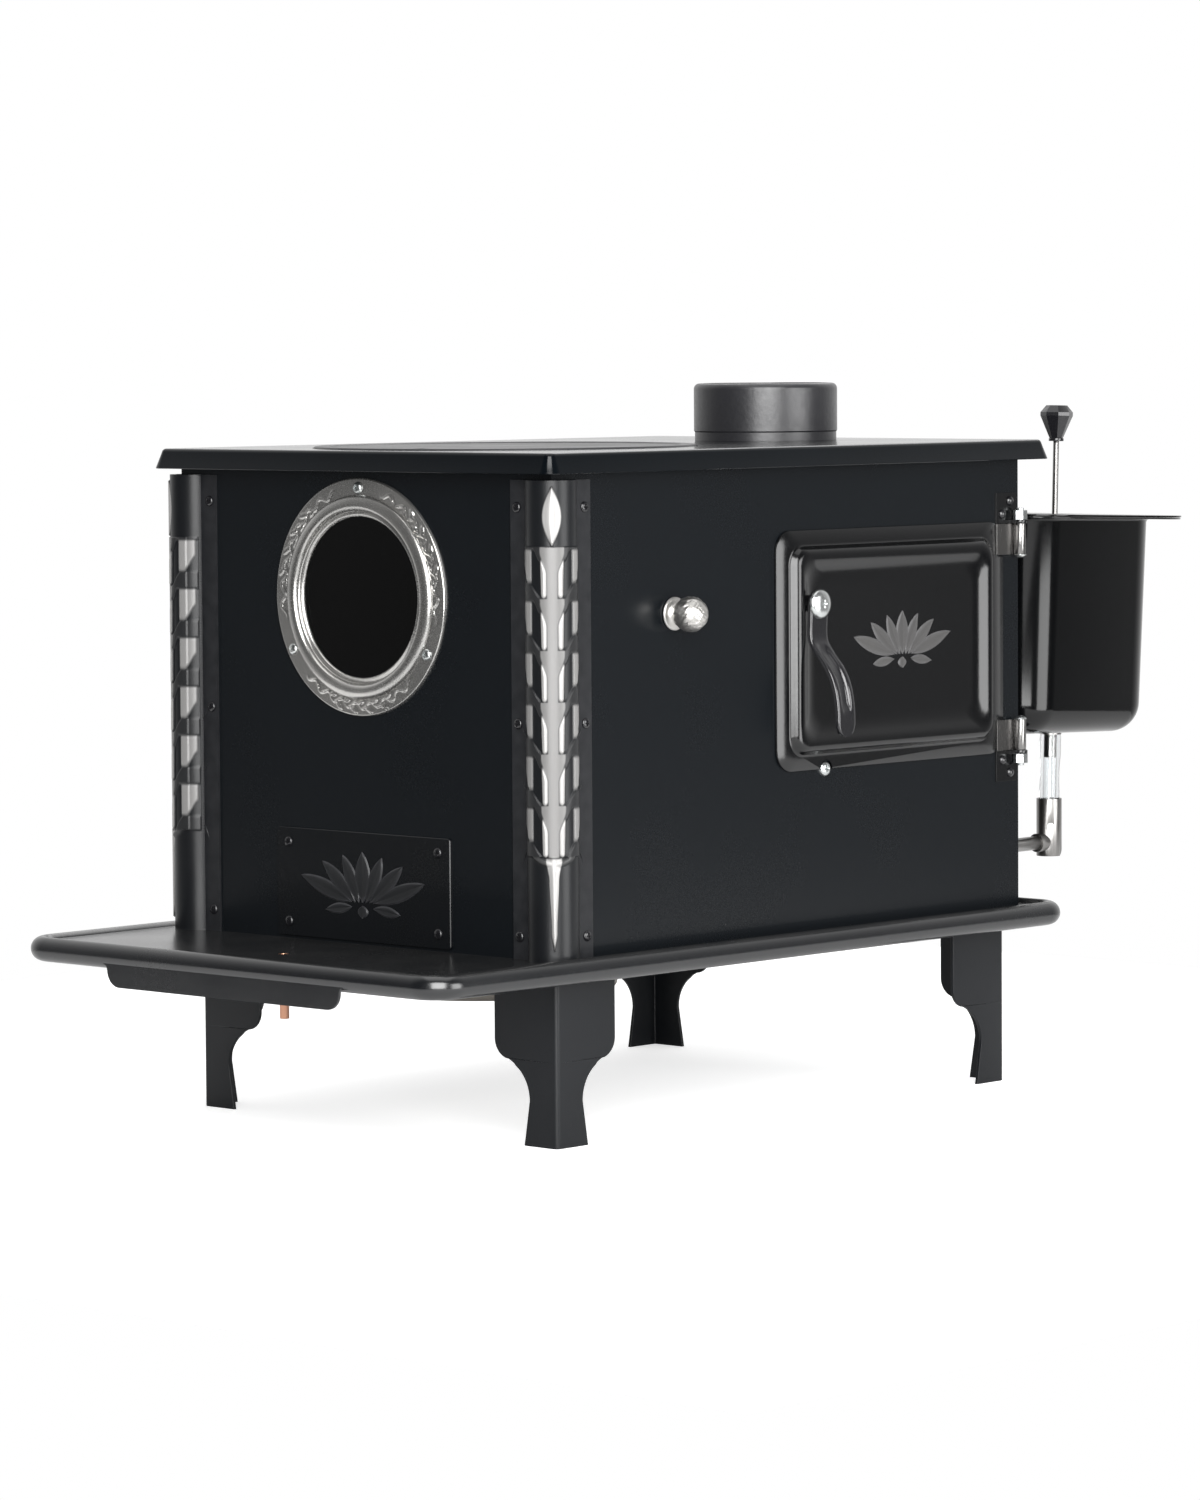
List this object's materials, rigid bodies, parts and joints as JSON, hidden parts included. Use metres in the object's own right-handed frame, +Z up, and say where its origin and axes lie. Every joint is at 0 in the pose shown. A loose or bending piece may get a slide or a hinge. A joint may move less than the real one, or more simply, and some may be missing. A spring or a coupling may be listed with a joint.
{
  "type": "diesel stove",
  "caption": "Drip-burner oil stove with a round window, side fire door, cooking lid, hearth tray on legs and a hung fuel tank.",
  "frame": {"origin": "on the floor, under the middle of the outline", "axes": "+Z up, -Y out of the window end, +Y to the fuel tank, +X out of the fire door's side"},
  "size_m": [0.4964, 0.9634, 0.598],
  "materials": {
    "body_enamel": "gloss",
    "door_enamel": "gloss",
    "tray_paint": "satin",
    "leg_paint": "satin",
    "cover_enamel": "gloss",
    "collar_iron": "satin",
    "lid_iron": "matt",
    "black_screws": "gloss",
    "zinc": "bright",
    "hinge_steel": "satin",
    "bezel_steel": "polished",
    "inner_steel": "rolled",
    "seal": "woven",
    "window_glass": "clear",
    "handle_black": "gloss",
    "ball_metal": "polished",
    "pot_steel": "satin",
    "pipe_steel": "bright",
    "brass": "turned",
    "copper": "bright",
    "hanger_paint": "satin",
    "hose": "clear"
  },
  "bodies": {
    "stove": {"front_panel": "body_enamel", "left_panel": "body_enamel", "right_panel": "body_enamel", "rear_panel": "body_enamel", "top_plate": "body_enamel", "column_left": "door_enamel", "column_right": "door_enamel", "fuel_tank": "door_enamel", "hearth_tray": "tray_paint", "tray_apron": "tray_paint", "leg_front_left": "leg_paint", "leg_front_right": "leg_paint", "leg_rear_left": "leg_paint", "leg_rear_right": "leg_paint", "cover_plate": "cover_enamel", "flue_collar": "collar_iron", "burner_ring": "lid_iron", "column_screws": "black_screws", "cover_screws": "black_screws", "hinge_bolts": "zinc", "hinge_nuts": "zinc", "bracket_rivets": "zinc", "door_stop_bolt": "zinc", "window_bolts": "zinc", "elbow_screw": "zinc", "leg_bolts": "zinc", "leg_nuts": "zinc", "tank_screws": "zinc", "hinge_brackets": "hinge_steel", "window_bezel": "bezel_steel", "window_retainer": "inner_steel", "latch_keeper": "inner_steel", "draught_guide": "inner_steel", "baffle_plate": "inner_steel", "baffle_rails": "inner_steel", "window_gasket": "seal", "window_glass": "window_glass", "burner_pot": "pot_steel", "feed_pipe": "pipe_steel", "pipe_elbow": "pipe_steel", "outlet_nut": "pipe_steel", "tank_outlet": "brass", "drain_pipe": "copper", "tank_hanger": "hanger_paint", "fuel_hose": "hose"},
    "door": {"door_shell": "door_enamel", "door_liner": "inner_steel", "door_rope_seal": "seal", "door_hinge_leaves": "hinge_steel"},
    "latch": {"door_handle": "handle_black", "handle_bolt": "zinc", "latch_tongue": "inner_steel", "latch_nut": "zinc"},
    "draught_pull": {"draught_knob": "ball_metal", "draught_rod": "inner_steel", "draught_slide": "inner_steel"},
    "fuel_valve": {"valve_rod": "pipe_steel", "valve_knob": "handle_black"},
    "tank_cover": {"tank_lid": "door_enamel"},
    "lid": {"cooking_lid": "lid_iron"}
  },
  "joints": [
    {"name": "door_swing", "type": "hinge", "parent": "stove", "child": "door", "pos_m": [0.2123, 0.25231, 0.3815], "axis": [0, 0, 1], "range_deg": [0, 100]},
    {"name": "latch_turn", "type": "hinge", "parent": "door", "child": "latch", "pos_m": [0.2158, -0.01619, 0.42], "axis": [-1, 0, 0], "range_deg": [0, 90]},
    {"name": "draught_slide", "type": "slide", "parent": "stove", "child": "draught_pull", "axis": [1, 0, 0], "range_m": [0, 0.04]},
    {"name": "valve_turn", "type": "hinge", "parent": "stove", "child": "fuel_valve", "pos_m": [0.1658, 0.35776, 0.48073], "axis": [0, 0.0332, 0.9995], "range_deg": [0, 90]},
    {"name": "tank_lid_slide", "type": "slide", "parent": "stove", "child": "tank_cover", "axis": [0, 0.9995, -0.0332], "range_m": [0, 0.085]},
    {"name": "cooking_lid_lift", "type": "slide", "parent": "stove", "child": "lid", "axis": [0, 0, 1], "range_m": [0, 0.06]}
  ]
}
